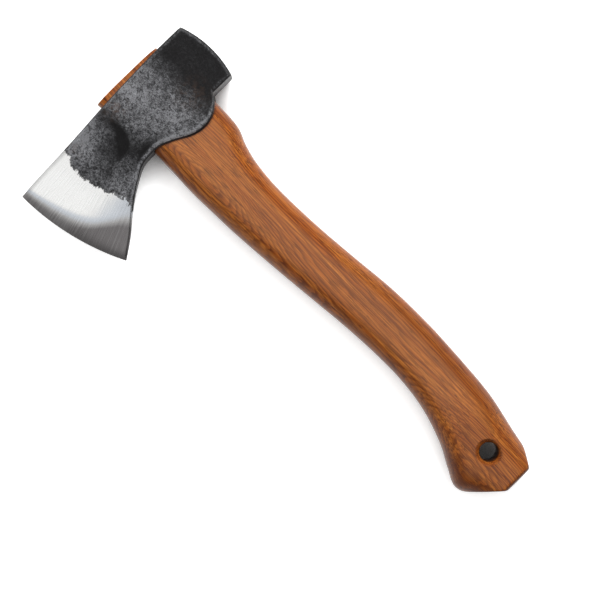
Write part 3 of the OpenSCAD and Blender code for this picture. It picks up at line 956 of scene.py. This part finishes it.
def shade_sheen_and_figure(obj):
    """Painted shade on the wood, with oil in its end grain; a painted sheen, with some rubbing, down the
    cheeks; and the wood's figure.
    """
    u, v, _ = head_coordinates(obj)
    normals = np.empty(len(obj.data.vertices) * 3)
    obj.data.vertices.foreach_get("normal", normals)
    normals = normals.reshape(-1, 3)
    facing_end, facing_front, facing_cheek = -normals[:, 0], normals[:, 1], abs(normals[:, 2])
    on_grip = v > POLL_HEIGHT
    # The knob's sawn end and the tenon's top: end grain darkened by oil, and painted shade on the knob's end.
    shade_and_oil = 0.8 * ramp(facing_end, 0.15, 0.55) * ramp(v, down(0.88), down(0.92))
    shade_and_oil = np.maximum(shade_and_oil, 0.3 * ramp(-facing_end, 0.5, 0.9) * (v < 0))
    # Painted shade on the hole's wall, and a darker line round its countersink.
    bore = np.hypot(u - HOLE_U, v - HOLE_V) - HOLE_D / 2
    shade_and_oil = np.maximum(shade_and_oil, 0.97 * (1 - ramp(bore, 0.05, 0.4)))
    shade_and_oil = np.maximum(shade_and_oil, 0.6 * np.exp(-((bore - 2.1) / 0.4) ** 2))
    # Painted shade on the front of the grip and on the knob, and a painted shadow along the line under the
    # lugs.
    shade_and_oil = np.maximum(shade_and_oil, 0.4 * ramp(facing_front, 0.1, 0.65) * on_grip + 0.16 * ramp(v, 268, 300))
    below_lug = v - bottom_line(u)
    shade_and_oil = np.maximum(shade_and_oil, 0.9 * (1 - ramp(below_lug, 0.3, 1.3)) * (below_lug > 0) * on_grip)
    write_attribute(obj, "shade_and_oil", shade_and_oil)
    # A painted sheen down the middle of both cheeks, where the wood is also rubbed paler.
    sheen_and_rubbing = ramp(facing_cheek, 0.9, 0.995) * (v > 0) * (1 - 0.5 * ramp(v, 262, 290))
    write_attribute(obj, "sheen_and_rubbing", sheen_and_rubbing)
    write_attribute(obj, "figure", patches(u, v, FIGURE_PATCHES))


paint_head(head)
shade_sheen_and_figure(handle)
# Dark, middle and light of each wood.
HICKORY = ((0.115, 0.023, 0.003), (0.405, 0.099, 0.010), (0.59, 0.190, 0.028))
BEECH = ((0.30, 0.14, 0.055), (0.48, 0.26, 0.115), (0.60, 0.36, 0.18))
paint_wood(handle, "handle_wood", HICKORY, 40.0, (-66.0, -42.0), 1.15, True)
paint_wood(wedge, "wedge_wood", BEECH, 310.0, (-60.0, 60.0), 1.6, False)
paint_ring(ring)

# ---- Floor and light ----

HALF_FLOOR = 6.0
# The floor's colour falls to a painted contact shadow's colour close to the object.
FLOOR_COLOUR, CONTACT_SHADOW_COLOUR = (0.84, 0.84, 0.835), (0.1, 0.1, 0.1)
CONTACT_REACH = 0.022
FLOOR_GLOW = 0.7
KEY_PLACE = (0.75, -1.35, 1.5)
KEY_WIDTH = 1.3
KEY_WATTS = 42
floor_mesh = bpy.data.meshes.new("floor")
corners = [(x * HALF_FLOOR, y * HALF_FLOOR, 0) for x, y in ((-1, -1), (1, -1), (1, 1), (-1, 1))]
floor_mesh.from_pydata(corners, [], [(0, 1, 2, 3)])
floor = bpy.data.objects.new("floor", floor_mesh)
bpy.context.scene.collection.objects.link(floor)
f = Shader("pale_floor")
f.set(f.surface.inputs["Roughness"], 0.9)
f.set(f.surface.inputs["Emission Color"], (1, 1, 1, 1))
# The camera, and metal or glass, see the open floor as white. Close to the object its colour and its glow are
# darkened by ambient occlusion, a painted contact shadow.
seen = f.add("LightPath").outputs
shown = f.math("MAXIMUM", seen["Is Glossy Ray"], seen["Is Transmission Ray"])
shown = f.math("MAXIMUM", seen["Is Camera Ray"], shown)
open_floor = f.add("AmbientOcclusion", {"Distance": CONTACT_REACH}, samples=8).outputs["AO"]
floor_colour = f.mix(f.range(open_floor, 0.02, 0.3), CONTACT_SHADOW_COLOUR, FLOOR_COLOUR)
f.set(f.surface.inputs["Base Color"], floor_colour)
glow = f.range(open_floor, 0.25, 0.7, 0.0, FLOOR_GLOW)
f.set(f.surface.inputs["Emission Strength"], f.math("MULTIPLY", shown, glow))
floor_mesh.materials.append(f.material)

key_data = bpy.data.lights.new("key", "AREA")
key_data.shape = "DISK"
key_data.size = KEY_WIDTH
key_data.energy = KEY_WATTS
key = bpy.data.objects.new("key", key_data)
bpy.context.scene.collection.objects.link(key)
key.location = KEY_PLACE
key.rotation_euler = (-key.location).to_track_quat("-Z", "Y").to_euler()
key.visible_glossy = False

# A soft room: bright overhead, white at the horizon all round, and darker between them past the
# cutting edge and the knob.
world = bpy.data.worlds.new("studio")
world.use_nodes = True
bpy.context.scene.world = world


class Sky(Shader):
    """The same helpers on the world's nodes."""

    def __init__(self, tree):
        self.tree = tree


sky = Sky(world.node_tree)
direction = sky.add("TexCoord").outputs["Generated"]


def towards(x, y, z, low, high):
    """Rises from 0 to 1 as the direction comes from low to high degrees off an axis."""
    axis = tuple(Vector((x, y, z)).normalized())
    facing = sky.add("VectorMath", {0: direction, 1: axis}, operation="DOT_PRODUCT").outputs["Value"]
    return sky.range(facing, math.cos(math.radians(low)), math.cos(math.radians(high)))


ROOM, OVERHEAD, SIDE, HORIZON = 0.045, 1.03, 0.14, 0.85
overhead = towards(0.22, 0.02, 1.0, 44, 20)
side = towards(0.25, -1.0, 0.35, 85, 40)
horizon = sky.range(sky.add("SeparateXYZ", {0: direction}).outputs["Z"], 0.58, 0.34)
strength = sky.math("ADD", ROOM, sky.math("MULTIPLY", overhead, OVERHEAD))
strength = sky.math("ADD", strength, sky.math("MULTIPLY", side, SIDE))
strength = sky.mix_value(horizon, strength, HORIZON)
backdrop = world.node_tree.nodes["Background"]
backdrop.inputs["Color"].default_value = (1, 1, 1, 1)
sky.set(backdrop.inputs["Strength"], strength)

bpy.context.scene.view_settings.view_transform = "Standard"
